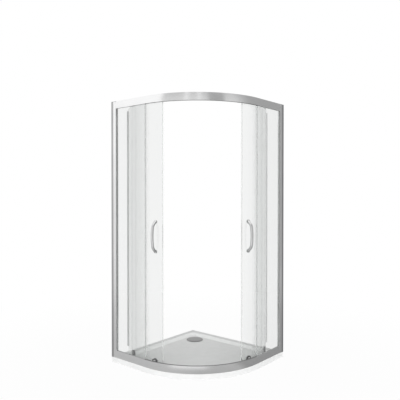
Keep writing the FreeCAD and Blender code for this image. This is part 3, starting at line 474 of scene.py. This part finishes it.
own_finishes = {
    "wall_profile": aluminium("wall_aluminium", SATIN_METAL, Finish.upright_lines),
    "upright_profile": aluminium("post_aluminium", BRIGHT_METAL, Finish.upright_lines),
    "fixed_panel_seal": soft_seal("panel_seal_pvc", PANEL_SEAL, PANEL_SEAL_BODY),
    "fixed_glass": glass("fixed_clear_glass", PANEL_EDGE),
    "magnetic_seal": soft_seal("magnet_pvc", MAGNET_SEAL, MAGNET_SEAL_BODY),
    "guide_caps": guide_cap("guide_cap"),
    "hangers": moulded("hanger_nylon", HANGER_NYLON),
    "bottom_rail_infill": infill_rubber_and_shade,
    "top_rail_infill": infill_rubber_and_shade,
}
for part in frame["record"]["subparts"]:
    node = part["node"]
    pair = node.removesuffix("_left").removesuffix("_right")
    finish = own_finishes.get(pair, finishes[part["material_slot"]])
    for place in frame["nodes"][node].material_slots:
        place.material = finish


def straight_view(finish):
    """1 for rays from the camera, also by way of metal or glass, that nothing dull scattered."""
    rays = finish.node("ShaderNodeLightPath").outputs
    mirrored = finish.math("MAXIMUM", rays["Is Glossy Ray"], rays["Is Transmission Ray"])
    seen = finish.math("MAXIMUM", rays["Is Camera Ray"], mirrored)
    straight = finish.math("LESS_THAN", rays["Diffuse Depth"], ANY_BOUNCE)
    return finish.math("MULTIPLY", seen, straight)


def placed(name, data):
    """A new object in the scene."""
    made = bpy.data.objects.new(name, data)
    bpy.context.scene.collection.objects.link(made)
    return made


def mesh_object(name, points, faces):
    mesh = bpy.data.meshes.new(name)
    mesh.from_pydata(points, [], faces)
    return placed(name, mesh)


def flat_sheet(name, span, drop):
    """A square sheet about the Z axis, facing up."""
    half = span / 2
    corners = [(-half, -half, 0), (half, -half, 0), (half, half, 0), (-half, half, 0)]
    made = mesh_object(name, corners, [(0, 1, 2, 3)])
    made.location = (0, 0, -drop)
    return made


def round_wall(name, reach, first, last, steps):
    """An upright wall about the Z axis, from one bearing to another."""
    points, faces = [], []
    for step in range(steps + 1):
        bearing = math.radians(first + (last - first) * step / steps)
        x, y = reach * math.sin(bearing), -reach * math.cos(bearing)
        points += [(x, y, 0), (x, y, WALL_HEIGHT)]
        if step:
            base = 2 * step
            faces.append((base - 2, base, base + 1, base - 1))
    return mesh_object(name, points, faces)


def bearing_of(board):
    x, y, _ = board.spot_from()
    return board.math("ARCTAN2", x, board.math("MULTIPLY", y, -1.0))


def turned(board, bearing, turns, low, high):
    """Goes from low to high between two bearings."""
    return board.fade(bearing, *(math.radians(turn) for turn in turns), low, high)


def mirrored_only(made, board, tone):
    """Sets up a board that keeps its tone in any light and shows only in reflections."""
    shade = board.node("ShaderNodeEmission", tone)
    clear = board.node("ShaderNodeBsdfTransparent")
    rays = board.node("ShaderNodeLightPath").outputs
    mirrored = board.math("GREATER_THAN", rays["Glossy Depth"], ANY_BOUNCE)
    shown = board.math("SUBTRACT", mirrored, rays["Is Singular Ray"])
    board.show(board.mixed(shown, clear, shade))
    for kind in ("camera", "diffuse", "shadow", "volume_scatter"):
        setattr(made, "visible_" + kind, False)
    made.data.materials.append(board.material)


floor = flat_sheet("floor", FLOOR_SPAN, FLOOR_DROP)
paper = Finish("floor_paper")
cloud = paper.noise(paper.spot(), *PAPER_CLOUD)
paper.wear(cloud, paper.noise(paper.spot(), *PAPER_HAZE), *FLOOR_PAPER)
away = paper.length(paper.spot())
lift = paper.math(
    "MULTIPLY",
    straight_view(paper),
    paper.fade(away, FLOOR_NEAR, FLOOR_FAR, FLOOR_LIFT_NEAR, 1.0),
)
glow = paper.node("ShaderNodeEmission", WHITE, 1.0)
paper.show(paper.mixed(lift, paper.surface, glow))
floor.data.materials.append(paper.material)

wall = round_wall("grey_wall", WALL_REACH, WALL_FROM, WALL_TO, WALL_STEPS)
board = Finish("wall_paint")
bearing = bearing_of(board)
edge = turned(board, bearing, WALL_EDGE_TURNS, 1.0, 0.0)
left = board.fade(board.spot_from()[2], *WALL_DIMS, WALL_LEFT_LOW, WALL_LEFT_HIGH)
tone = board.math("MAXIMUM", edge, turned(board, bearing, WALL_TURNS, left, WALL_RIGHT))
mirrored_only(wall, board, tone)

wall = round_wall("side_wall", WALL_REACH, SIDE_WALL_FROM, WALL_FROM, WALL_STEPS)
board = Finish("side_wall_paint")
dark = board.math(
    "MULTIPLY",
    turned(board, bearing_of(board), SIDE_WALL_TURNS, 1.0, 0.0),
    board.fade(board.spot_from()[2], *SIDE_WALL_DIMS, SIDE_WALL_DARK, 0.0),
)
mirrored_only(wall, board, board.math("SUBTRACT", 1.0, dark))

ground = flat_sheet("grey_ground", 2 * GROUND_REACH, GROUND_DROP)
board = Finish("ground_paint")
bearing = bearing_of(board)
tone = turned(board, bearing, GROUND_FIRST_TURNS, GROUND_LEFT, GROUND_MIDDLE)
tone = turned(board, bearing, GROUND_LAST_TURNS, tone, GROUND_RIGHT)
away = board.length(board.spot())
tone = board.math(
    "MULTIPLY", tone, board.fade(away, GROUND_NEAR, GROUND_REACH, 1.0, GROUND_FAR_SHARE)
)
patch = board.math(
    "MULTIPLY",
    turned(board, bearing, PATCH_STARTS, 0.0, 1.0),
    turned(board, bearing, PATCH_ENDS, 1.0, 0.0),
)
reach = board.length(board.outward())
lift = board.fade(reach, RAIL_FACE + PATCH_NEAR, RAIL_FACE + PATCH_FAR, 0.0, PATCH_LIFT)
tone = board.math("ADD", tone, board.math("MULTIPLY", patch, lift))
mirrored_only(ground, board, tone)

for name, bearing, width, grey in CARDS:
    half = math.degrees(width / CARD_REACH) / 2
    card = round_wall(name, CARD_REACH, bearing - half, bearing + half, CARD_STEPS)
    mirrored_only(card, Finish(name + "_paint"), (grey, grey, grey, 1.0))

for name, place, size, power in SOFTBOXES:
    lamp = bpy.data.lights.new(name, "AREA")
    lamp.shape = "RECTANGLE"
    lamp.size, lamp.size_y = size
    lamp.energy = power
    softbox = placed(name, lamp)
    softbox.visible_glossy = False
    softbox.visible_transmission = False
    softbox.location = place
    aim = Vector(SOFTBOX_AIM) - Vector(place)
    softbox.rotation_euler = aim.to_track_quat("-Z", "Y").to_euler()


class Sky(Finish):
    """The world's shader, made with the same helpers as a material."""

    def __init__(self, name):
        self.world = bpy.data.worlds.new(name)
        self.world.use_nodes = True
        self.tree = self.world.node_tree
        self.tree.nodes.clear()
        self.output = self.tree.nodes.new("ShaderNodeOutputWorld")


sky = Sky("studio")
toward = sky.dot(sky.node("ShaderNodeTexCoord").outputs["Generated"], SKY_FACES)
strength = sky.node("ShaderNodeMapRange", toward, -1.0, 1.0, SKY_BACK, SKY_FRONT)
lit = sky.node("ShaderNodeBackground", WHITE, strength.outputs[0])
plain = sky.node("ShaderNodeBackground", WHITE, 1.0)
sky.show(sky.mixed(straight_view(sky), lit, plain))
bpy.context.scene.world = sky.world

lens = bpy.data.cameras.new("camera")
lens.lens = CAMERA_LENS
lens.sensor_width = CAMERA_SENSOR
lens.sensor_fit = "HORIZONTAL"
camera = placed("camera", lens)
camera.location = CAMERA_PLACE
camera.rotation_euler = [math.radians(angle) for angle in CAMERA_TURN]
bpy.context.scene.camera = camera
bpy.context.scene.view_settings.view_transform = "Standard"
